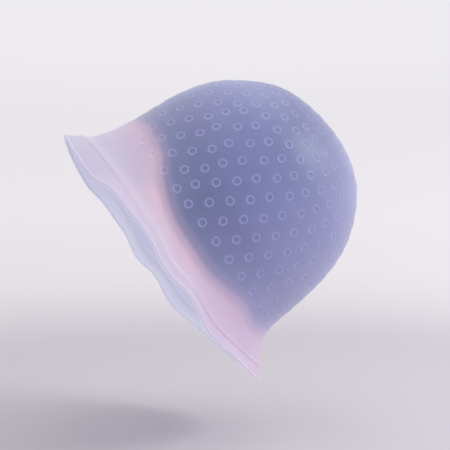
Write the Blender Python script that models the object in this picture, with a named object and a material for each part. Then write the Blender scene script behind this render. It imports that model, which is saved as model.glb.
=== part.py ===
"""Highlighting cap: a soft silicone hood, in the shape it takes on an upright head.

The real cap is one moulding.  Its zones are separate solids here, one after another up the
wall: a rounded edge bead, a flat brim band, a raised rib, the flared skirt and the domed crown.

The cap is drawn in its own frame: origin in the middle of the brim's opening, -Y to the
front, +X to the wearer's left, +Z up the crown's axis.  An empty leans that frame back to
the pose it has on a head.  The world's origin is the point inside the crown where the top
of the head bears, with +Z up and the face towards -Y.
"""

from math import cos, degrees, pi, radians, sin

import bmesh
import bpy
from mathutils import Vector

MM = 0.001

# Placing
LEAN_DEG = 51.1                       # the crown's axis leans this far back from vertical
BRIM_CENTRE_MM = (0.0, -68.0, -157.5)  # from the head's seat to the middle of the opening

# Wall and trim, in mm.  Distances run along the outer surface, inwards from the brim's edge.
WALL = 0.8
GAP = 0.3                             # between one zone's solid and the next
BEAD_RADIUS = 1.2
RIB_HALF_WIDTH = 1.3                  # the rib's middle runs along section 1
RIB_HEIGHT = 1.0
CROWN_PAST_RIB = 43.6                 # from the rib's middle to where the crown begins

# Resolution
SEGMENTS = 64                         # round the cap
STEPS = 8                             # along each stretch between two sections
NORMAL_STEP = radians(1.0)

# Sections of the outer surface from the brim's edge to just below the pole, in mm:
# reach to the front, the back and the side, then height at the front, the back and the side.
SECTIONS = (
    (135.5, 139.3, 113.0, 0.9, -0.3, -6.5),
    (126.6, 129.3, 100.3, 11.8, 8.6, 0.2),
    (120.4, 122.4, 95.0, 18.4, 14.4, 7.5),
    (115.4, 116.3, 91.4, 30.6, 21.7, 18.5),
    (111.8, 112.4, 89.5, 44.6, 30.0, 32.5),
    (109.2, 110.2, 88.8, 58.6, 42.0, 48.0),
    (106.6, 110.4, 88.5, 79.4, 66.0, 71.0),
    (103.0, 108.6, 86.0, 104.4, 100.0, 101.0),
    (93.6, 100.8, 80.0, 132.6, 131.0, 130.0),
    (77.5, 85.0, 67.5, 156.0, 157.5, 155.0),
    (56.0, 63.5, 48.5, 176.9, 178.4, 176.0),
    (29.0, 34.0, 25.0, 187.9, 190.6, 188.5),
)
POLE_HEIGHT = 192.0

# The soft brim's waves: angle from the front in degrees, and rise in mm.  The edge has its own,
# dipping beside the forehead, more on the left; the sections from the rib up share the rib's.
BACK_WAVES = ((75, 1.2), (89, -4.7), (98, -1.9), (114, -9.2), (130, -5.8), (150, -3.7), (180, 0))
LEFT_WAVES = ((0, 0), (46, -5.5), (58, 1.2)) + BACK_WAVES
RIGHT_WAVES = ((0, 0), (46, -3.3), (62, 1.2)) + BACK_WAVES
RIB_WAVES = ((0, -0.4), (46, 2.6), (60, 2.2), (75, 0.8), (89, -4.3), (99, -3.0), (117, -7.7),
             (130, -6.0), (150, -3.6), (180, -0.5))
# How much of the rib's waves each section takes, from the edge up.
RIB_WAVE_SHARE = (0.0, 1.0, 0.85, 0.6, 0.35, 0.15)

# Colours are linear RGB.
MATERIALS = {
    "edge_bead": ((0.61, 0.63, 0.81), 0.40),
    "brim_band": ((0.66, 0.60, 0.77), 0.45),
    "brim_rib": ((0.66, 0.57, 0.74), 0.42),
    "brim_skirt": ((0.63, 0.53, 0.70), 0.48),
    "crown_shell": ((0.21, 0.23, 0.43), 0.50),
}


def curve_slope(rows, k):
    """The slope of the curve at row k: none at an end or an extreme, else a weighted mean."""
    if k in (0, len(rows) - 1):
        return 0.0
    (a0, v0), (a1, v1), (a2, v2) = rows[k - 1:k + 2]
    before, after = (v1 - v0) / (a1 - a0), (v2 - v1) / (a2 - a1)
    if before * after <= 0:
        return 0.0
    heavy_before, heavy_after = a1 - a0 + 2 * (a2 - a1), a2 - a1 + 2 * (a1 - a0)
    return (heavy_before + heavy_after) / (heavy_before / before + heavy_after / after)


def curve(rows, angle):
    """Reads (degrees from the front, value) rows along a smooth curve that keeps extremes."""
    off_front = abs((degrees(angle) + 180.0) % 360.0 - 180.0)
    for k in range(len(rows) - 1):
        (a0, v0), (a1, v1) = rows[k:k + 2]
        if off_front <= a1:
            t = (off_front - a0) / (a1 - a0)
            bend = (1 - t) * curve_slope(rows, k) - t * curve_slope(rows, k + 1)
            return v0 + (v1 - v0) * t * t * (3.0 - 2.0 * t) + (a1 - a0) * t * (1 - t) * bend
    return rows[-1][1]


def rise(index, angle):
    """How far the waves lift a section at an angle from the front."""
    if index == 0:
        return curve(LEFT_WAVES if sin(angle) >= 0 else RIGHT_WAVES, angle)
    if index < len(RIB_WAVE_SHARE):
        return RIB_WAVE_SHARE[index] * curve(RIB_WAVES, angle)
    return 0.0


def section_point(index, angle):
    """A point on one section, in mm in the cap's frame."""
    front, back, side, z_front, z_back, z_side = SECTIONS[index]
    c = cos(angle)
    forward = (front - back) / 2 + (front + back) / 2 * c
    height = z_side + (z_front - z_back) / 2 * c + ((z_front + z_back) / 2 - z_side) * c * c
    return Vector((side * sin(angle), -forward, height + rise(index, angle)))


def spline_point(p0, p1, p2, p3, t):
    """Catmull-Rom spline between p1 and p2."""
    return 0.5 * (2 * p1 + (p2 - p0) * t + (2 * p0 - 5 * p1 + 4 * p2 - p3) * t * t
                  + (3 * p1 - p0 - 3 * p2 + p3) * t * t * t)


def column(angle):
    """The outer surface's line from the edge to the pole: (distance, point) pairs."""
    knots = [section_point(i, angle) for i in range(len(SECTIONS))]
    knots.append(Vector((0, 0, POLE_HEIGHT)))
    before = 2 * knots[0] - knots[1]
    beyond = section_point(len(SECTIONS) - 1, angle + pi)
    knots = [before] + knots + [beyond]
    points = []
    for i in range(1, len(knots) - 2):
        for k in range(STEPS):
            points.append(spline_point(*knots[i - 1:i + 3], k / STEPS))
    points.append(knots[-2])
    distance = 0.0
    line = [(0.0, points[0])]
    for a, b in zip(points, points[1:]):
        distance += (b - a).length
        line.append((distance, b))
    return line


def along(line, distance):
    """The point at a distance along a column, and the column's direction there."""
    for (d0, a), (d1, b) in zip(line, line[1:]):
        if distance <= d1:
            return a.lerp(b, (distance - d0) / (d1 - d0)), (b - a).normalized()
    return line[-1][1], (line[-1][1] - line[-2][1]).normalized()


class Wall:
    """The cap's outer surface, read by angle and distance from the edge."""

    def __init__(self):
        self.angles = [2 * pi * i / SEGMENTS for i in range(SEGMENTS)]
        self.lines = [column(a) for a in self.angles]
        self.beside = [column(a + NORMAL_STEP) for a in self.angles]
        self.ribs = [line[STEPS][0] for line in self.lines]

    def point(self, i, distance, out=0.0):
        """A point at angle i, raised by out along the outward normal."""
        here, upward = along(self.lines[i], distance)
        there, _ = along(self.beside[i], distance)
        normal = (there - here).cross(upward).normalized()
        return here + normal * out

    def length(self, i):
        return self.lines[i][-1][0]


def material(name):
    colour, roughness = MATERIALS[name]
    mat = bpy.data.materials.new(name)
    mat.use_nodes = True
    shader = mat.node_tree.nodes["Principled BSDF"]
    shader.inputs["Base Color"].default_value = (*colour, 1.0)
    shader.inputs["Roughness"].default_value = roughness
    shader.inputs["Metallic"].default_value = 0.0
    mat.diffuse_color = (*colour, 1.0)
    return mat


def add_object(name, bm, frame):
    """Turns a bmesh drawn in mm into a smooth-shaded object in the cap's frame."""
    bmesh.ops.scale(bm, vec=(MM, MM, MM), verts=bm.verts)
    bmesh.ops.recalc_face_normals(bm, faces=bm.faces)
    mesh = bpy.data.meshes.new(name)
    bm.to_mesh(mesh)
    bm.free()
    mesh.shade_smooth()
    mesh.set_sharp_from_angle(angle=radians(40))
    mesh.materials.append(material(name))
    obj = bpy.data.objects.new(name, mesh)
    bpy.context.scene.collection.objects.link(obj)
    obj.parent = frame
    return obj


def loft(bm, outlines):
    """Joins closed outlines, one per angle, into a ring round the cap."""
    rows = [[bm.verts.new(p) for p in outline] for outline in outlines]
    count = len(rows[0])
    for i, row in enumerate(rows):
        after = rows[(i + 1) % len(rows)]
        for k in range(count):
            n = (k + 1) % count
            bm.faces.new((row[k], row[n], after[n], after[k]))


def strip(name, wall, spans, rows, frame):
    """A zone of even wall.  Spans holds its two distances from the edge at each angle."""
    outlines = []
    for i, (start, end) in enumerate(spans):
        stops = [start + (end - start) * k / rows for k in range(rows + 1)]
        inner = [wall.point(i, d, -WALL) for d in reversed(stops)]
        outlines.append([wall.point(i, d) for d in stops] + inner)
    bm = bmesh.new()
    loft(bm, outlines)
    return add_object(name, bm, frame)


def edge_bead(wall, frame):
    """The rounded lip that ends the brim."""
    sides = 8
    bm = bmesh.new()
    outlines = []
    for i in range(SEGMENTS):
        ring = []
        for k in range(sides):
            turn = 2 * pi * k / sides
            distance = BEAD_RADIUS * (1 - cos(turn))
            ring.append(wall.point(i, distance, BEAD_RADIUS * sin(turn) - WALL / 2))
        outlines.append(ring)
    loft(bm, outlines)
    return add_object("edge_bead", bm, frame)


def brim_rib(wall, frame):
    """The raised ridge that runs round the brim."""
    outline = ((-1.0, 0.0), (-0.55, 0.7), (0.0, 1.0), (0.55, 0.7), (1.0, 0.0))
    bm = bmesh.new()
    outlines = []
    for i in range(SEGMENTS):
        middle = wall.ribs[i]
        ring = [wall.point(i, middle + x * RIB_HALF_WIDTH, y * RIB_HEIGHT) for x, y in outline]
        ring.append(wall.point(i, middle + RIB_HALF_WIDTH, -WALL))
        ring.append(wall.point(i, middle - RIB_HALF_WIDTH, -WALL))
        outlines.append(ring)
    loft(bm, outlines)
    return add_object("brim_rib", bm, frame)


def crown_shell(wall, frame):
    """The dome, closed over the pole."""
    rows = 13
    bm = bmesh.new()
    outlines = []
    for i in range(SEGMENTS):
        start = wall.ribs[i] + CROWN_PAST_RIB + GAP / 2
        span = wall.length(i) - start
        stops = [start + span * k / rows for k in range(rows)]
        inner = [wall.point(i, d, -WALL) for d in stops]
        outlines.append([wall.point(i, d) for d in stops] + list(reversed(inner)))
    grid = [[bm.verts.new(p) for p in outline] for outline in outlines]
    last = 2 * rows - 1
    pole_out = bm.verts.new((0, 0, POLE_HEIGHT))
    pole_in = bm.verts.new((0, 0, POLE_HEIGHT - WALL))
    for i in range(SEGMENTS):
        here, after = grid[i], grid[(i + 1) % SEGMENTS]
        for k in range(last):
            if k != rows - 1:
                bm.faces.new((here[k], here[k + 1], after[k + 1], after[k]))
        bm.faces.new((here[last], here[0], after[0], after[last]))
        bm.faces.new((here[rows - 1], pole_out, after[rows - 1]))
        bm.faces.new((here[rows], after[rows], pole_in))
    return add_object("crown_shell", bm, frame)


def cap_frame():
    """The empty that holds the cap leaning back, as it sits on a head."""
    frame = bpy.data.objects.new("cap_frame", None)
    frame.location = [v * MM for v in BRIM_CENTRE_MM]
    frame.rotation_euler = (radians(-LEAN_DEG), 0, 0)
    bpy.context.scene.collection.objects.link(frame)
    return frame


def build():
    for obj in list(bpy.data.objects):
        bpy.data.objects.remove(obj, do_unlink=True)
    frame = cap_frame()
    wall = Wall()
    beside_rib = RIB_HALF_WIDTH + GAP
    band = [(2 * BEAD_RADIUS + GAP, rib - beside_rib) for rib in wall.ribs]
    skirt = [(rib + beside_rib, rib + CROWN_PAST_RIB - GAP / 2) for rib in wall.ribs]
    edge_bead(wall, frame)
    strip("brim_band", wall, band, 2, frame)
    brim_rib(wall, frame)
    strip("brim_skirt", wall, skirt, 5, frame)
    crown_shell(wall, frame)
    bpy.context.view_layer.update()


build()
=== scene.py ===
"""Highlighting cap: the visible pieces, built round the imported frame.

Four pieces stand for the five CAD zones of the one moulding: a continuous skin (crown and
skirt, with its rows of raised guide rings), the brim's rib, its band and its edge bead.
They follow the same wall as the CAD: a spline surface drawn in the cap's own frame, which
leans back as the cap does on a head.
"""

from math import atan, cos, pi, radians, sin

import bpy
import numpy as np
from mathutils import Matrix, Vector, geometry


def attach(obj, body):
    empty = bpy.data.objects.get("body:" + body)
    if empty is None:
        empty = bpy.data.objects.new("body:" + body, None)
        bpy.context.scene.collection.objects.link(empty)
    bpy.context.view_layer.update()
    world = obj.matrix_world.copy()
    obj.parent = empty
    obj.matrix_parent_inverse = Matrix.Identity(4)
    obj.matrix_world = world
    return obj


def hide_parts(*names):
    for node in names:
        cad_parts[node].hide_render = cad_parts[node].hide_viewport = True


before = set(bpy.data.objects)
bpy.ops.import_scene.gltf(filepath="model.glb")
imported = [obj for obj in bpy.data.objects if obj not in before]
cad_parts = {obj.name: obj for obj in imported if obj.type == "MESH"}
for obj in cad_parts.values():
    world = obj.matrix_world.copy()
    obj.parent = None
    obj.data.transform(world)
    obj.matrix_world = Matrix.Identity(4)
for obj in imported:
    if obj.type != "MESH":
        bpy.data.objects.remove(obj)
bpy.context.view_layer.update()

MM = 0.001

# Placing, as in the CAD
LEAN_DEG = 51.1
BRIM_CENTRE_MM = (0.0, -68.0, -157.5)

# Wall and trim, in mm, as in the CAD.  Distances run along the outer surface.
WALL = 0.8
BEAD_RADIUS = 1.2

# Sections of the outer surface from the brim's edge to just below the pole, in mm:
# reach to the front, the back and the side, then height at the front, the back and the side.
SECTIONS = np.array((
    (135.5, 139.3, 113.0, 0.9, -0.3, -6.5),
    (126.6, 129.3, 100.3, 11.8, 8.6, 0.2),
    (120.4, 122.4, 95.0, 18.4, 14.4, 7.5),
    (115.4, 116.3, 91.4, 30.6, 21.7, 18.5),
    (111.8, 112.4, 89.5, 44.6, 30.0, 32.5),
    (109.2, 110.2, 88.8, 58.6, 42.0, 48.0),
    (106.6, 110.4, 88.5, 79.4, 66.0, 71.0),
    (103.0, 108.6, 86.0, 104.4, 100.0, 101.0),
    (93.6, 100.8, 80.0, 132.6, 131.0, 130.0),
    (77.5, 85.0, 67.5, 156.0, 157.5, 155.0),
    (56.0, 63.5, 48.5, 176.9, 178.4, 176.0),
    (29.0, 34.0, 25.0, 187.9, 190.6, 188.5),
))
POLE_HEIGHT = 192.0

# The soft brim's waves: angle from the front in degrees, and rise in mm.  The edge has its own,
# dipping beside the forehead, more on the left; the sections from the rib up share the rib's.
BACK_WAVES = ((75, 1.2), (89, -4.7), (98, -1.9), (114, -9.2), (130, -5.8), (150, -3.7), (180, 0))
LEFT_WAVES = ((0, 0), (46, -5.5), (58, 1.2)) + BACK_WAVES
RIGHT_WAVES = ((0, 0), (46, -3.3), (62, 1.2)) + BACK_WAVES
RIB_WAVES = ((0, -0.4), (46, 2.6), (60, 2.2), (75, 0.8), (89, -4.3), (99, -3.0), (117, -7.7),
             (130, -6.0), (150, -3.6), (180, -0.5))
RIB_WAVE_SHARE = (0.0, 1.0, 0.85, 0.6, 0.35, 0.15)

# Rows of guide rings, outermost first: distance from the pole in mm, the two angles in degrees
# between which the row's short step lies, and the step between rings in mm.
ROWS = (
    (203.0, 67.0, 74.9, 18.2),
    (189.0, 61.9, 69.9, 18.2),
    (175.0, 66.5, 74.3, 18.2),
    (161.0, 61.1, 69.1, 18.3),
    (147.0, 45.7, 53.1, 18.2),
    (132.5, 40.3, 48.3, 17.8),
    (119.0, 46.6, 52.5, 17.2),
    (105.5, 51.5, 60.4, 15.5),
    (90.0, 55.8, 65.5, 14.3),
    (76.5, 76.2, 85.3, 14.2),
    (62.5, 83.5, 94.2, 14.3),
    (48.5, 60.0, 77.0, 14.4),
    (34.5, 70.0, 95.0, 14.4),
    (20.5, 60.0, 100.0, 14.4),
    (7.5, 30.0, 150.0, 13.0),
)
ROW_SAG = 12.0                       # how much further from the pole the rows run at the back
ROW_SAG_FROM, ROW_SAG_OVER = 75.0, 70.0   # angles from the front, in degrees
ROW_SAG_POLE = 80.0                  # the rows within this distance of the pole sag less

# One ring's relief: (radius, height) in mm, from its middle to where it meets the wall.
RING_SIDES = 22
RING_OUT = ((0.8, -0.12), (1.9, -0.1), (2.3, 0.02), (2.7, 0.19), (3.2, 0.25), (3.75, 0.12),
            (4.4, 0.0))
RING_IN = ((2.2, 0.0), (4.4, 0.0))

# The line round the head where the hair begins: angle from the front, distance from the pole.
HAIRLINE = ((0, 196.5), (18, 194.3), (28, 192.2), (42, 193.2), (50, 196.5), (58, 204.5),
            (66, 211.3), (76, 218.3), (90, 222.4), (102, 225.1), (121, 222.6), (139, 230.4),
            (157, 227.8), (180, 231.0))

NAPE_FROM, NAPE_OVER = 75.0, 60.0    # where the colours turn to the nape's, in degrees
BROW_TO, BROW_OVER = 90.0, 75.0      # where they turn from the brow's
BROW_TURN = (0.25, 0.8)              # the shares of brow between which the side's colour gives way

FLOOR_Z = -0.311                     # in metres

INNER = (220, 221, 243)              # the inner face's colour, 0 to 255
SHEEN, SHEEN_SPREAD = 0.42, 0.6      # the silicone's pale bloom: its weight and roughness

SKIN_PAST_RIB = 0.6                  # the skin's lower border, inwards from the rib's middle
GRID_STEP = 4.4                      # spacing of the plain wall's points
EDGE_ROWS_FROM, EDGE_ROWS_OVER = 150.0, 60.0   # where its rows turn to follow the brim's edge
BORDER_SIDES = 240

LENS_SPREAD = 0.28928                # half the picture's width over the distance
CAMERA_AT = (0.6847, -0.1555, -0.1260)
CAMERA_TURN_DEG = 12.0               # how far it looks towards the back of the cap
CAMERA_SHIFT = -0.00667              # of the picture's width


def smooth(t):
    t = np.clip(t, 0.0, 1.0)
    return t * t * (3.0 - 2.0 * t)


def off_front(angle):
    """Angle in radians to degrees from the front, 0 to 180."""
    return np.abs((np.degrees(angle) + 180.0) % 360.0 - 180.0)


class Curve:
    """A smooth curve through (degrees from the front, value) rows, which keeps their extremes."""

    def __init__(self, rows):
        self.at, self.value = np.array(rows, float).T
        self.width = np.diff(self.at)
        rise = np.diff(self.value) / self.width
        slope = [0.0]
        for k in range(1, len(rise)):
            before, after = rise[k - 1], rise[k]
            wide, narrow = 2 * self.width[k] + self.width[k - 1], self.width[k] + 2 * self.width[k - 1]
            turning = before * after <= 0
            slope.append(0.0 if turning else (wide + narrow) / (wide / before + narrow / after))
        self.slope = np.array(slope + [0.0])

    def __call__(self, angle):
        off = off_front(angle)
        i = np.clip(np.searchsorted(self.at, off, side="right") - 1, 0, len(self.width) - 1)
        t = (off - self.at[i]) / self.width[i]
        bend = self.width[i] * t * (1 - t) * ((1 - t) * self.slope[i] - t * self.slope[i + 1])
        return self.value[i] + (self.value[i + 1] - self.value[i]) * smooth(t) + bend


class Wall:
    """The cap's outer surface in its own frame, in mm.

    A place on it is given by its angle from the front and its distance from the pole, or by
    (u, v), which is that distance and angle laid out on a plane.
    """

    LOOK_ANGLES = 720
    LOOK_STEPS = 24                  # between two sections
    LOOK_MM = 0.5
    PROBE = 0.25

    def __init__(self):
        self.spans = len(SECTIONS)
        self.left, self.right, self.ribbed = Curve(LEFT_WAVES), Curve(RIGHT_WAVES), Curve(RIB_WAVES)
        angles = np.linspace(0.0, 2 * pi, self.LOOK_ANGLES + 1)
        turns = np.linspace(0.0, self.spans, self.spans * self.LOOK_STEPS + 1)
        grid_a, grid_t = np.meshgrid(angles, turns, indexing="ij")
        points = self.at(grid_a.ravel(), grid_t.ravel()).reshape(*grid_a.shape, 3)
        steps = np.linalg.norm(np.diff(points, axis=1), axis=2)
        from_edge = np.concatenate([np.zeros((len(angles), 1)), np.cumsum(steps, axis=1)], axis=1)
        self.lengths = from_edge[:, -1]
        self.rib_reaches = self.lengths - from_edge[:, self.LOOK_STEPS]
        from_pole = self.lengths[:, None] - from_edge
        reach = np.arange(0.0, self.lengths.max() + 1.0, self.LOOK_MM)
        self.turn_table = np.array([np.interp(reach, d[::-1], turns[::-1]) for d in from_pole])

    def at(self, angle, turn):
        """The point at an angle and a spline parameter: 0 at the edge, spans at the pole."""
        i = np.clip(turn.astype(int), 0, self.spans - 1)
        t = (turn - i)[:, None]
        p0, p1, p2, p3 = (self.knot(i + k, angle) for k in (-1, 0, 1, 2))
        return 0.5 * (2 * p1 + (p2 - p0) * t + (2 * p0 - 5 * p1 + 4 * p2 - p3) * t * t
                      + (3 * p1 - p0 - 3 * p2 + p3) * t ** 3)

    def knot(self, index, angle):
        """The spline's knots: sections, the pole, and one knot beyond each end."""
        last = self.spans - 1
        point = self.section(np.clip(index, 0, last), angle)
        before = 2 * self.section(np.zeros_like(index), angle) - self.section(np.ones_like(index), angle)
        beyond = self.section(np.full_like(index, last), angle + pi)
        point = np.where((index < 0)[:, None], before, point)
        point = np.where((index > last)[:, None], np.array((0.0, 0.0, POLE_HEIGHT)), point)
        return np.where((index > last + 1)[:, None], beyond, point)

    def section(self, index, angle):
        front, back, side, z_front, z_back, z_side = SECTIONS[index].T
        c = np.cos(angle)
        forward = (front - back) / 2 + (front + back) / 2 * c
        height = z_side + (z_front - z_back) / 2 * c + ((z_front + z_back) / 2 - z_side) * c * c
        share = np.array(RIB_WAVE_SHARE + (0.0,) * (self.spans - len(RIB_WAVE_SHARE)))[index]
        if (index == 0).any():
            lip = np.where(np.sin(angle) >= 0, self.left(angle), self.right(angle))
            height = height + (index == 0) * lip
        if share.any():
            height = height + share * self.ribbed(angle)
        return np.stack([side * np.sin(angle), -forward, height], axis=1)

    def around(self, values, angle):
        """Reads one of the tables that hold a value for each look angle."""
        place = (angle / (2 * pi)) % 1.0 * self.LOOK_ANGLES
        i = place.astype(int)
        share = place - i
        return values[i] * (1 - share) + values[(i + 1) % self.LOOK_ANGLES] * share

    def length(self, angle):
        """From the edge to the pole along the surface."""
        return self.around(self.lengths, angle)

    def rib(self, angle):
        """From the rib's middle to the pole along the surface.  The rib lies on section 1."""
        return self.around(self.rib_reaches, angle)

    def turn(self, angle, reach):
        """The spline parameter at a distance from the pole."""
        place = (angle / (2 * pi)) % 1.0 * self.LOOK_ANGLES
        i = place.astype(int)
        a = place - i
        row = reach / self.LOOK_MM
        j = np.clip(row.astype(int), 0, self.turn_table.shape[1] - 2)
        b = row - j
        table = self.turn_table
        n = (i + 1) % self.LOOK_ANGLES
        return ((table[i, j] * (1 - b) + table[i, j + 1] * b) * (1 - a)
                + (table[n, j] * (1 - b) + table[n, j + 1] * b) * a)

    def point(self, angle, reach):
        return self.at(angle, self.turn(angle, reach))

    def flat_point(self, uv):
        return self.point(np.arctan2(uv[:, 1], uv[:, 0]), np.hypot(uv[:, 0], uv[:, 1]))

    def slopes(self, uv):
        """How the surface point moves with u and with v."""
        du, dv = np.array((self.PROBE, 0.0)), np.array((0.0, self.PROBE))
        along_u = (self.flat_point(uv + du) - self.flat_point(uv - du)) / (2 * self.PROBE)
        along_v = (self.flat_point(uv + dv) - self.flat_point(uv - dv)) / (2 * self.PROBE)
        return along_u, along_v

    def normals(self, uv):
        along_u, along_v = self.slopes(uv)
        normal = np.cross(along_u, along_v)
        return normal / np.linalg.norm(normal, axis=1, keepdims=True)


def uv_of(angle, reach):
    return np.stack([reach * np.cos(angle), reach * np.sin(angle)], axis=1)


# ---------------------------------------------------------------- where the rings go

def row_path(wall, reach):
    """One row of rings: its angles, distances from the pole and running length."""
    angle = np.radians(np.linspace(0.0, 360.0, 1441))
    sag = ROW_SAG * smooth((off_front(angle) - ROW_SAG_FROM) / ROW_SAG_OVER)
    reaches = reach + sag * min(1.0, (reach / ROW_SAG_POLE) ** 2)
    points = wall.point(angle, reaches)
    run = np.concatenate([[0.0], np.cumsum(np.linalg.norm(np.diff(points, axis=0), axis=1))])
    return angle, reaches, run


def ring_centres(wall):
    """Angle and distance from the pole of every ring.

    From a row's short step the rings go both ways at an even step, to the front and to the
    back.  The wearer's right side is filled at the nearest step that comes out even.
    """
    angles, reaches = [], []
    for reach, short_from, short_to, step in ROWS:
        angle, path, run = row_path(wall, reach)
        low, high, half = np.interp(np.radians((short_from, short_to, 180.0)), angle, run)
        places = list(np.arange(high, half, step)) + list(np.arange(low, 0.0, -step))
        far_from, far_to = max(places), min(places) + run[-1]
        gaps = max(1, round((far_to - far_from) / step))
        places += [far_from + (far_to - far_from) * k / gaps for k in range(1, gaps)]
        places = np.array(places) % run[-1]
        angles.append(np.interp(places, run, angle))
        reaches.append(np.interp(places, run, path))
    return np.concatenate(angles), np.concatenate(reaches)


def ring_points(wall, centres, radius):
    """Points of a circle of one radius round each centre, as (u, v), ring after ring."""
    along_u, along_v = wall.slopes(centres)
    first = along_u / np.linalg.norm(along_u, axis=1, keepdims=True)
    second = np.cross(np.cross(along_u, along_v), first)
    second /= np.linalg.norm(second, axis=1, keepdims=True)
    middle = wall.flat_point(centres)
    turn = 2 * pi * np.arange(RING_SIDES) / RING_SIDES
    aim = (middle[:, None] + radius * (np.cos(turn)[None, :, None] * first[:, None]
                                       + np.sin(turn)[None, :, None] * second[:, None]))
    uv = np.repeat(centres, RING_SIDES, axis=0)
    uu = np.repeat((along_u ** 2).sum(1), RING_SIDES)
    vv = np.repeat((along_v ** 2).sum(1), RING_SIDES)
    uw = np.repeat((along_u * along_v).sum(1), RING_SIDES)
    wide_u, wide_v = np.repeat(along_u, RING_SIDES, axis=0), np.repeat(along_v, RING_SIDES, axis=0)
    aim = aim.reshape(-1, 3)
    for _ in range(3):
        miss = aim - wall.flat_point(uv)
        mu, mv = (miss * wide_u).sum(1), (miss * wide_v).sum(1)
        det = uu * vv - uw * uw
        uv = uv + np.stack([(mu * vv - mv * uw) / det, (mv * uu - mu * uw) / det], axis=1)
    return uv


# ---------------------------------------------------------------- the skin

def even_plane(wall):
    """A function from distance to plane radius that keeps shapes, for the triangulation."""
    reach = np.arange(1.0, 280.0)
    angle = np.radians(np.arange(0.0, 360.0, 6.0))
    girth = []
    for r in reach:
        ring = wall.point(angle, np.full(len(angle), r))
        girth.append(np.linalg.norm(ring - np.roll(ring, 1, axis=0), axis=1).sum())
    growth = 2 * pi / np.array(girth)
    log_radius = np.concatenate([[0.0], np.cumsum((growth[1:] + growth[:-1]) / 2)])
    return lambda r: np.where(r < 1.0, r, np.exp(np.interp(r, reach, log_radius)))


def plain_points(wall, centres):
    """Points of the wall between the rings, as (u, v)."""
    rows = []
    reach = 0.0
    k = 0
    nearest = wall.rib_reaches.min() - SKIN_PAST_RIB
    while reach < nearest - 0.6 * GRID_STEP:
        angle = np.radians(np.arange(0.0, 360.0, 10.0))
        ring = wall.point(angle, np.full(len(angle), reach))
        girth = np.linalg.norm(ring - np.roll(ring, 1, axis=0), axis=1).sum()
        count = max(1, round(girth / GRID_STEP))
        angle = 2 * pi * (np.arange(count) + 0.5 * (k % 2)) / count
        # the last rows follow the brim's edge, the first ones the pole
        spread = smooth((reach - EDGE_ROWS_FROM) / EDGE_ROWS_OVER)
        stretch = (wall.rib(angle) - SKIN_PAST_RIB) / nearest
        rows.append(uv_of(angle, reach * (1 + (stretch - 1) * spread)))
        reach += GRID_STEP * 0.9
        k += 1
    uv = np.concatenate(rows)
    here = wall.flat_point(uv)
    keep = np.ones(len(uv), bool)
    clear = RING_OUT[-1][0] + 0.45 * GRID_STEP
    for middle in wall.flat_point(centres):
        keep &= ((here - middle) ** 2).sum(1) > clear ** 2
    return uv[keep]


def triangles_between(rim, plain, border, plane):
    """Triangulates the wall between the rings' outer circles and the border."""
    uv = np.concatenate([rim, plain, border])
    reach = np.hypot(uv[:, 0], uv[:, 1])
    scale = plane(reach) / np.maximum(reach, 1e-9)
    flat = uv * scale[:, None]
    edges = []
    for start in range(0, len(rim), RING_SIDES):
        edges += [(start + k, start + (k + 1) % RING_SIDES) for k in range(RING_SIDES)]
    first = len(rim) + len(plain)
    edges += [(first + k, first + (k + 1) % len(border)) for k in range(len(border))]
    result = geometry.delaunay_2d_cdt([Vector(p) for p in flat.tolist()], edges, [], 0, 1e-7, True)
    source = [origin[0] for origin in result[3]]
    ring_of = np.arange(len(uv)) // RING_SIDES
    ring_of[len(rim):] = -1
    border_flat = flat[first:]
    border_angle = np.unwrap(np.arctan2(border_flat[:, 1], border_flat[:, 0]))
    border_reach = np.hypot(border_flat[:, 0], border_flat[:, 1])
    kept = []
    for face in result[2]:
        tri = [source[v] for v in face]
        rings = {ring_of[v] for v in tri}
        if len(rings) == 1 and -1 not in rings:
            continue
        if min(tri) >= first:
            middle = flat[tri].mean(axis=0)
            turn = np.arctan2(middle[1], middle[0]) % (2 * pi)
            edge = np.interp(turn, border_angle % (2 * pi), border_reach, period=2 * pi)
            if np.hypot(*middle) > edge * 0.9995:
                continue
        kept.append(tri)
    return kept


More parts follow.
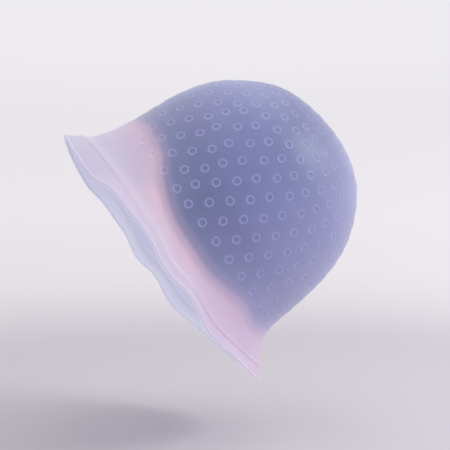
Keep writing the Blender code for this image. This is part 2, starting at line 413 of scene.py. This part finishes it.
class Layer:
    """One face of the skin: its points, normals, faces and painted values."""

    def __init__(self, wall, centres, relief, plain, border, between, offset):
        # order of the points: outermost circles, plain wall, border, ring middles, inner circles
        circles = [ring_points(wall, centres, radius) for radius, _ in relief]
        uv = np.concatenate([circles[-1], plain, border, centres] + circles[:-1])
        height = np.zeros(len(uv))
        slope = np.zeros(len(uv))
        radius = np.full(len(uv), 2 * relief[-1][0])
        sides = len(circles[-1])
        after = sides + len(plain) + len(border)
        height[after:after + len(centres)] = relief[0][1]
        radius[:sides] = relief[-1][0]
        radius[after:after + len(centres)] = 0.0
        # where each circle's points start, from the ring's middle outwards
        starts = []
        place = after + len(centres)
        for k, (r, h) in enumerate(relief[:-1]):
            starts.append(place)
            height[place:place + sides] = h
            radius[place:place + sides] = r
            previous = relief[k - 1] if k else (0.0, h)
            following = relief[k + 1]
            slope[place:place + sides] = (following[1] - previous[1]) / (following[0] - previous[0])
            place += sides
        starts.append(0)
        normal = wall.normals(uv)
        here = wall.flat_point(uv)
        middle = np.zeros_like(here)
        spots = np.repeat(wall.flat_point(centres), RING_SIDES, axis=0)
        for start in starts:
            middle[start:start + sides] = spots
        # the relief's slope tips each normal away from the ring's middle
        outward = here - middle
        outward -= (outward * normal).sum(1)[:, None] * normal
        outward /= np.maximum(np.linalg.norm(outward, axis=1, keepdims=True), 1e-9)
        self.points = here + normal * (height + offset)[:, None]
        self.normals = normal - outward * slope[:, None]
        self.normals /= np.linalg.norm(self.normals, axis=1, keepdims=True)
        self.radius = radius
        self.uv = uv
        self.border_start = sides + len(plain)
        faces = [tuple(tri) for tri in between]
        for ring in range(len(centres)):
            base = ring * RING_SIDES
            for k in range(RING_SIDES):
                a, b = base + k, base + (k + 1) % RING_SIDES
                faces.append((after + ring, starts[0] + a, starts[0] + b))
                for inner, outer in zip(starts, starts[1:]):
                    faces.append((inner + a, outer + a, outer + b, inner + b))
        self.faces = faces


def to_world(points):
    """Cap frame in mm to the model's frame in metres."""
    lean = np.array(Matrix.Rotation(radians(-LEAN_DEG), 3, "X"))
    return (points @ lean.T + np.array(BRIM_CENTRE_MM)) * MM


def turned(vectors):
    """Directions from the cap's frame to the model's."""
    lean = np.array(Matrix.Rotation(radians(-LEAN_DEG), 3, "X"))
    return vectors @ lean.T


def new_object(name, points, faces, materials):
    mesh = bpy.data.meshes.new(name)
    mesh.from_pydata(to_world(points).tolist(), [], faces)
    mesh.update()
    for material in materials:
        mesh.materials.append(material)
    obj = bpy.data.objects.new(name, mesh)
    bpy.context.scene.collection.objects.link(obj)
    mesh.shade_smooth()
    return obj


def paint(obj, name, values):
    """Keeps a number at each of the mesh's points for its material to read."""
    layer = obj.data.attributes.new(name, "FLOAT", "POINT")
    layer.data.foreach_set("value", np.asarray(values, np.float32))


def cap_skin(wall, material):
    angle, reach = ring_centres(wall)
    centres = uv_of(angle, reach)
    rim = ring_points(wall, centres, RING_OUT[-1][0])
    plain = plain_points(wall, centres)
    turn = 2 * pi * np.arange(BORDER_SIDES) / BORDER_SIDES
    border = uv_of(turn, wall.rib(turn) - SKIN_PAST_RIB)
    between = triangles_between(rim, plain, border, even_plane(wall))
    outside = Layer(wall, centres, RING_OUT, plain, border, between, 0.0)
    inside = Layer(wall, centres, RING_IN, plain, border, between, -WALL)
    shift = len(outside.points)
    faces = list(outside.faces)
    faces += [tuple(v + shift for v in reversed(face)) for face in inside.faces]
    for k in range(BORDER_SIDES):
        a = outside.border_start + k
        b = outside.border_start + (k + 1) % BORDER_SIDES
        faces.append((b, a, inside.border_start + k + shift,
                      inside.border_start + (k + 1) % BORDER_SIDES + shift))
    obj = new_object("cap_skin", np.concatenate([outside.points, inside.points]), faces, [material])
    normals = turned(np.concatenate([outside.normals, -inside.normals]))
    obj.data.normals_split_custom_set_from_vertices(normals.tolist())
    uv = np.concatenate([outside.uv, inside.uv])
    angle = np.arctan2(uv[:, 1], uv[:, 0])
    reach = np.hypot(uv[:, 0], uv[:, 1])
    line = Curve(HAIRLINE)(angle)
    paint(obj, "hair", line - reach)
    paint(obj, "blush", (wall.length(angle) - reach) / (wall.length(angle) - line))
    paint(obj, "behind", smooth((off_front(angle) - NAPE_FROM) / NAPE_OVER))
    paint(obj, "ahead", smooth((BROW_TO - off_front(angle)) / BROW_OVER))
    paint(obj, "ring", np.concatenate([outside.radius, inside.radius]))
    paint(obj, "inner", np.arange(len(uv)) >= shift)
    return obj


# ---------------------------------------------------------------- the brim's trim

TRIM_SIDES = 360
FAINT_TO, FAINT_OVER = 45.0, 60.0    # where a trim's height grows from the brow's, in degrees
SHARP_DEG = 50.0                     # edges that turn by more than this aren't smoothed


def trim_loft(name, wall, outline, material, brow_share=1.0):
    """Sweeps an outline round the brim.

    Its points are (place, offset, height): place 0 is the brim's edge and 1 the rib's middle,
    the offset from there runs inwards, and the height is off the wall.  At the brow the outer
    face's heights shrink to the given share.
    """
    turn = 2 * pi * np.arange(TRIM_SIDES) / TRIM_SIDES
    edge, rib = wall.length(turn), wall.rib(turn)
    share = brow_share + (1 - brow_share) * smooth((off_front(turn) - FAINT_TO) / FAINT_OVER)
    rows = []
    for place, offset, height in outline:
        uv = uv_of(turn, edge + (rib - edge) * place - offset)
        outer = height > -WALL / 2
        lift = height * share if outer else np.full(TRIM_SIDES, height)
        rows.append(wall.flat_point(uv) + wall.normals(uv) * lift[:, None])
    points = np.concatenate(rows)
    faces = []
    count = len(outline)
    for k in range(count):
        n = (k + 1) % count
        for i in range(TRIM_SIDES):
            j = (i + 1) % TRIM_SIDES
            faces.append((k * TRIM_SIDES + i, n * TRIM_SIDES + i, n * TRIM_SIDES + j, k * TRIM_SIDES + j))
    obj = new_object(name, points, faces, [material])
    obj.data.set_sharp_from_angle(angle=radians(SHARP_DEG))
    paint(obj, "lift", np.repeat([height for _, _, height in outline], TRIM_SIDES))
    paint(obj, "offset", np.repeat([offset for _, offset, _ in outline], TRIM_SIDES))
    paint(obj, "behind", np.tile(smooth((off_front(turn) - NAPE_FROM) / NAPE_OVER), count))
    paint(obj, "ahead", np.tile(smooth((BROW_TO - off_front(turn)) / BROW_OVER), count))
    return obj


def bead_outline():
    sides = 16
    turns = [2 * pi * k / sides for k in range(sides)]
    return [(0.0, BEAD_RADIUS * (1 - cos(t)), BEAD_RADIUS * sin(t) - WALL / 2) for t in turns]


def rib_outline():
    """A shallow groove on the edge's side, then a rounded ridge that runs out into the wall."""
    front = ((-3.4, -0.03), (-2.9, -0.07), (-2.3, -0.15), (-1.7, -0.12), (-1.2, 0.08), (-0.8, 0.34),
             (-0.3, 0.62), (0.2, 0.74), (0.7, 0.68), (1.2, 0.5), (1.7, 0.31), (2.3, 0.16),
             (3.0, 0.06), (3.8, 0.02))
    back = ((3.8, -WALL - 0.03), (0.2, -WALL - 0.03), (-3.4, -WALL - 0.03))
    return [(1.0, offset, height) for offset, height in front + back]


def band_outline():
    start, end, rows = 1.6, -3.0, 8
    stops = [(k / rows, start + (end - start) * k / rows) for k in range(rows + 1)]
    return [(*stop, 0.0) for stop in stops] + [(*stop, -WALL) for stop in reversed(stops)]


# ---------------------------------------------------------------- materials

def srgb(r, g, b):
    """A colour from 0 to 255 to linear light."""
    def linear(v):
        v /= 255.0
        return v / 12.92 if v <= 0.04045 else ((v + 0.055) / 1.055) ** 2.4
    return (linear(r), linear(g), linear(b), 1.0)


class Nodes:
    """A small helper for wiring a Principled material."""

    def __init__(self, name):
        self.material = bpy.data.materials.new(name)
        self.material.use_nodes = True
        self.tree = self.material.node_tree
        self.shader = self.tree.nodes["Principled BSDF"]

    def node(self, kind, **values):
        made = self.tree.nodes.new(kind)
        for key, value in values.items():
            setattr(made, key, value)
        return made

    def link(self, source, target):
        self.tree.links.new(source, target)

    def attribute(self, name):
        return self.node("ShaderNodeAttribute", attribute_name=name).outputs["Fac"]

    def mapped(self, source, low, high):
        made = self.node("ShaderNodeMapRange")
        self.link(source, made.inputs["Value"])
        made.inputs["From Min"].default_value = low
        made.inputs["From Max"].default_value = high
        return made.outputs["Result"]

    def ramp(self, source, stops, low=0.0, high=1.0):
        """Colours along a value, eased from stop to stop."""
        made = self.node("ShaderNodeValToRGB")
        made.color_ramp.interpolation = "EASE"
        points = made.color_ramp.elements
        while len(points) > 1:
            points.remove(points[-1])
        for k, (place, colour) in enumerate(stops):
            share = (place - low) / (high - low)
            spot = points[0] if k == 0 else points.new(share)
            spot.position = share
            spot.color = colour
        self.link(self.mapped(source, low, high), made.inputs["Fac"])
        return made.outputs["Color"]

    def mix(self, share, a, b, kind="MIX"):
        made = self.node("ShaderNodeMix", data_type="RGBA", blend_type=kind)
        for source, socket in ((share, made.inputs[0]), (a, made.inputs[6]), (b, made.inputs[7])):
            if isinstance(source, (float, int, tuple)):
                socket.default_value = source
            else:
                self.link(source, socket)
        return made.outputs[2]

    def noise(self, scale, detail=2.0, rough=0.5):
        place = self.node("ShaderNodeTexCoord").outputs["Object"]
        made = self.node("ShaderNodeTexNoise")
        made.inputs["Scale"].default_value = scale
        made.inputs["Detail"].default_value = detail
        made.inputs["Roughness"].default_value = rough
        self.link(place, made.inputs["Vector"])
        return made.outputs["Fac"]

    def math(self, kind, a, b):
        made = self.node("ShaderNodeMath", operation=kind)
        for source, socket in ((a, made.inputs[0]), (b, made.inputs[1])):
            if isinstance(source, (float, int)):
                socket.default_value = source
            else:
                self.link(source, socket)
        return made.outputs[0]

    def bump(self, height, strength, distance):
        made = self.node("ShaderNodeBump")
        made.inputs["Strength"].default_value = strength
        made.inputs["Distance"].default_value = distance
        self.link(height, made.inputs["Height"])
        self.link(made.outputs["Normal"], self.shader.inputs["Normal"])

    def silicone(self, colour, roughness=0.42):
        """Soft matte silicone: a broad gloss, a pale bloom at grazing angles, fine grain."""
        inputs = self.shader.inputs
        self.link(colour, inputs["Base Color"])
        grain = self.noise(900.0)
        self.link(self.ramp(grain, ((0.3, (roughness - 0.04,) * 3 + (1.0,)),
                                    (0.7, (roughness + 0.05,) * 3 + (1.0,)))), inputs["Roughness"])
        inputs["Specular IOR Level"].default_value = 0.4
        inputs["Sheen Weight"].default_value = SHEEN
        inputs["Sheen Roughness"].default_value = SHEEN_SPREAD
        inputs["Sheen Tint"].default_value = srgb(235, 232, 241)
        inputs["Subsurface Weight"].default_value = 0.5
        inputs["Subsurface Radius"].default_value = (0.0015, 0.0013, 0.0015)
        inputs["Subsurface Scale"].default_value = 1.0
        self.bump(grain, 0.08, 0.0002)
        return self.material


def skin_material():
    n = Nodes("crown_silicone_worn")
    hair = n.attribute("hair")
    ring = n.attribute("ring")
    behind = n.attribute("behind")
    blush = n.attribute("blush")
    wander = n.math("MULTIPLY", n.math("SUBTRACT", n.noise(16.0, 1.0), 0.5), 4.0)
    line = n.math("ADD", hair, wander)
    ahead = n.attribute("ahead")
    # The brim's colours by blush: at the sides pink toward the border, where skin lies under the
    # silicone. The brow's are darker: painted shade that tones down the sheen and the top light on the
    # brim's front.
    front_stops = ((0.2, srgb(186, 178, 200)), (0.5, srgb(191, 182, 204)), (0.75, srgb(197, 178, 203)),
                   (0.95, srgb(199, 174, 198)))
    side_stops = ((0.2, srgb(198, 183, 203)), (0.5, srgb(201, 186, 204)), (0.78, srgb(209, 187, 204)),
                  (0.95, srgb(205, 177, 195)))
    nape_stops = ((0.3, srgb(199, 177, 203)), (0.7, srgb(200, 176, 203)), (0.95, srgb(191, 169, 200)))
    brim = n.mix(n.mapped(ahead, *BROW_TURN), n.ramp(blush, side_stops), n.ramp(blush, front_stops))
    brim = n.mix(behind, brim, n.ramp(blush, nape_stops))
    # Along the hair the crown's colour dips darker from about 115 mm in toward the top: painted shade
    # that tones down the light from above.
    crown = n.ramp(hair, ((0, srgb(117, 124, 163)), (14, srgb(109, 117, 158)),
                          (30, srgb(106, 112, 157)), (60, srgb(111, 118, 167)),
                          (90, srgb(114, 122, 170)), (115, srgb(108, 116, 162)),
                          (135, srgb(103, 109, 153)), (180, srgb(111, 115, 157))), 0.0, 200.0)
    # Paler toward the nape and low at the brow: partly the hair lying thinner and looser under the wall
    # there, partly painted sheen, the silicone's pale bloom seen at a slant.
    crown = n.mix(n.math("MULTIPLY", behind, 0.72), crown, srgb(147, 145, 191))
    low_brow_paleness_and_sheen = n.math("MULTIPLY", ahead, n.math("SUBTRACT", 0.6, n.mapped(hair, 50.0, 160.0)))
    crown = n.mix(n.math("MAXIMUM", low_brow_paleness_and_sheen, 0.0), crown, srgb(132, 136, 178))
    cover = n.ramp(line, ((-9, (0, 0, 0, 1)), (-3, (0.25, 0.25, 0.25, 1)), (3, (0.8, 0.8, 0.8, 1)),
                          (11, (1, 1, 1, 1))), -30.0, 30.0)
    base = n.mix(cover, brim, crown)
    cloud = n.noise(38.0, 4.0, rough=0.65)
    base = n.mix(n.mapped(cloud, 0.25, 0.75), n.mix(1.0, base, (0.94, 0.955, 0.975, 1.0), "MULTIPLY"),
                 n.mix(1.0, base, (1.06, 1.045, 1.025, 1.0), "MULTIPLY"))
    ridge = n.ramp(ring, ((1.95, (0, 0, 0, 1)), (2.65, (1, 1, 1, 1)), (3.5, (1, 1, 1, 1)),
                          (4.15, (0, 0, 0, 1))), 0.0, 10.0)
    paleness = n.math("ADD", 0.22, n.math("MULTIPLY", cover, 0.43))
    paleness = n.math("MULTIPLY", paleness, n.math("SUBTRACT", 1.0, n.mapped(hair, 60.0, 260.0)))
    over_hair = n.mix(cover, srgb(209, 190, 208), srgb(149, 153, 202))
    base = n.mix(n.math("MULTIPLY", ridge, paleness), base, over_hair)
    lining = n.mix(n.math("MULTIPLY", ridge, 0.35), srgb(*INNER), srgb(205, 205, 232))
    base = n.mix(n.attribute("inner"), base, lining)
    return n.silicone(base)


def brim_material(name, front, side, nape, groove=None, lining=srgb(*INNER), turn=(-0.4, -0.7)):
    """The brim's own colour, paler inside; the rib's groove is a little darker, with painted shade."""
    n = Nodes(name)
    cloud = n.mapped(n.noise(45.0, 3.0), 0.3, 0.7)
    outside = n.mix(n.mapped(n.attribute("ahead"), *BROW_TURN), side, front)
    outside = n.mix(n.attribute("behind"), outside, nape)
    outside = n.mix(cloud, n.mix(1.0, outside, (0.96, 0.96, 0.97, 1.0), "MULTIPLY"), outside)
    lift = n.attribute("lift")
    # Painted shade: toward the nape the groove tint darkens the groove and the ridge's flank on the
    # edge's side.
    if groove:
        groove_shade = n.ramp(n.attribute("offset"), ((-3.2, (0, 0, 0, 1)), (-2.4, (1, 1, 1, 1)),
                                              (-1.3, (1, 1, 1, 1)), (-0.2, (0, 0, 0, 1))), -5.0, 5.0)
        groove_shade = n.math("MULTIPLY", groove_shade, n.attribute("behind"))
        outside = n.mix(groove_shade, outside, n.mix(1.0, outside, groove, "MULTIPLY"))
    return n.silicone(n.mix(n.mapped(lift, *turn), outside, lining), roughness=0.44)


def paper_material():
    """Pale studio paper, a little darker on the floor than up the wall: painted shade for the studio
    light's falloff.
    """
    n = Nodes("studio_paper")
    place = n.node("ShaderNodeTexCoord").outputs["Object"]
    split = n.node("ShaderNodeSeparateXYZ")
    n.link(place, split.inputs["Vector"])
    flat = n.node("ShaderNodeCombineXYZ")
    n.link(split.outputs["X"], flat.inputs["X"])
    n.link(split.outputs["Y"], flat.inputs["Y"])
    out = n.node("ShaderNodeVectorMath", operation="LENGTH")
    n.link(flat.outputs["Vector"], out.inputs[0])
    # Painted shade: darker toward the floor's middle under the cap, paler out to the rim and up the wall.
    floor = n.ramp(out.outputs["Value"], ((0.1, srgb(203, 198, 203)), (0.5, srgb(201, 196, 202)),
                                          (1.0, srgb(228, 223, 227))), 0.0, 2.0)
    wall = n.ramp(split.outputs["Z"], ((-0.3, srgb(236, 232, 235)), (0.1, srgb(238, 235, 238)),
                                       (0.5, srgb(247, 245, 248))), -0.4, 1.0)
    up = n.mapped(split.outputs["Z"], FLOOR_Z, FLOOR_Z + 0.2)
    n.link(n.mix(up, floor, wall), n.shader.inputs["Base Color"])
    n.shader.inputs["Roughness"].default_value = 0.95
    n.shader.inputs["Specular IOR Level"].default_value = 0.05
    return n.material


# ---------------------------------------------------------------- studio

def stage_bowl():
    """A round sweep: a flat floor whose rim curves up into a wall on every side."""
    flat, fillet, top, sides = 0.45, 1.5, 2.6, 96
    profile = [(0.0, 0.0), (flat * 0.5, 0.0), (flat, 0.0)]
    profile += [(flat + fillet * sin(pi / 2 * k / 16), fillet * (1 - cos(pi / 2 * k / 16)))
                for k in range(1, 17)]
    profile.append((flat + fillet, top))
    verts = [(0.0, 0.0, FLOOR_Z)]
    for radius, height in profile[1:]:
        verts += [(radius * cos(2 * pi * i / sides), radius * sin(2 * pi * i / sides), FLOOR_Z + height)
                  for i in range(sides)]
    faces = [(0, 1 + i, 1 + (i + 1) % sides) for i in range(sides)]
    for k in range(len(profile) - 2):
        low, high = 1 + k * sides, 1 + (k + 1) * sides
        faces += [(low + i, high + i, high + (i + 1) % sides, low + (i + 1) % sides)
                  for i in range(sides)]
    mesh = bpy.data.meshes.new("studio_floor")
    mesh.from_pydata(verts, [], faces)
    mesh.materials.append(paper_material())
    mesh.shade_smooth()
    obj = bpy.data.objects.new("studio_floor", mesh)
    bpy.context.scene.collection.objects.link(obj)
    obj.visible_shadow = False
    obj.visible_diffuse = False


def aimed(obj, target):
    obj.rotation_euler = (Vector(target) - obj.location).to_track_quat("-Z", "Y").to_euler()


def softbox(name, azimuth, elevation, distance, size, power, colour, target):
    """A square area light, placed by its direction from the cap's middle."""
    light = bpy.data.lights.new(name, "AREA")
    light.shape = "SQUARE"
    light.size = size
    light.energy = power
    light.color = colour
    obj = bpy.data.objects.new(name, light)
    bpy.context.scene.collection.objects.link(obj)
    a, e = radians(azimuth), radians(elevation)
    obj.location = Vector(target) + distance * Vector((cos(a) * cos(e), sin(a) * cos(e), sin(e)))
    aimed(obj, target)


def studio():
    middle = (0.0, 0.0, -0.12)
    softbox("softbox_key", 67, 32, 1.3, 0.44, 6.3, (0.93, 0.99, 0.99), middle)
    softbox("softbox_top", 80, 75, 1.5, 1.2, 4.2, (1.0, 0.98, 0.97), middle)
    world = bpy.data.worlds.new("studio_air")
    world.use_nodes = True
    world.node_tree.nodes["Background"].inputs["Color"].default_value = (0.98, 0.97, 1.0, 1.0)
    world.node_tree.nodes["Background"].inputs["Strength"].default_value = 0.84
    bpy.context.scene.world = world
    bpy.context.scene.view_settings.view_transform = "Standard"


def camera():
    data = bpy.data.cameras.new("camera")
    data.sensor_width = 36.0
    data.angle = 2 * atan(LENS_SPREAD)
    data.shift_y = CAMERA_SHIFT
    obj = bpy.data.objects.new("camera", data)
    bpy.context.scene.collection.objects.link(obj)
    obj.location = CAMERA_AT
    turn = radians(CAMERA_TURN_DEG)
    aimed(obj, obj.location + Vector((-cos(turn), sin(turn), 0.0)))
    bpy.context.scene.camera = obj


# ---------------------------------------------------------------- assembly

wall = Wall()
skin = cap_skin(wall, skin_material())
# Each trim's colours go brow, side, nape. The brow's are darker: painted shade that tones down the sheen
# and the top light on the brim's front.
rib = trim_loft("brim_rib_ridge", wall, rib_outline(),
                brim_material("brim_rib_silicone", srgb(189, 180, 201), srgb(196, 182, 202),
                              # the last tint is painted shade for the rib's groove
                              srgb(203, 182, 206), (0.95, 0.89, 0.93, 1.0)), 0.45)
band = trim_loft("brim_band_strip", wall, band_outline(),
                 brim_material("brim_band_silicone", srgb(187, 180, 202), srgb(194, 182, 203),
                               srgb(199, 180, 204)))
# The bead's lining, (234, 233, 248), is paler than the inner face's and reaches further up its side. It
# is painted light that lifts the shade on the bead's underside, as light coming through the silicone
# would.
bead = trim_loft("edge_bead_lip", wall, bead_outline(),
                 brim_material("edge_bead_silicone", srgb(201, 199, 221), srgb(204, 197, 219),
                               srgb(213, 198, 219), None, srgb(234, 233, 248), (-0.2, -0.9)))

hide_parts("crown_shell", "brim_skirt")
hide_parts("brim_rib")
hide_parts("brim_band")
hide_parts("edge_bead")
for piece in (skin, rib, band, bead):
    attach(piece, "root")

stage_bowl()
studio()
camera()
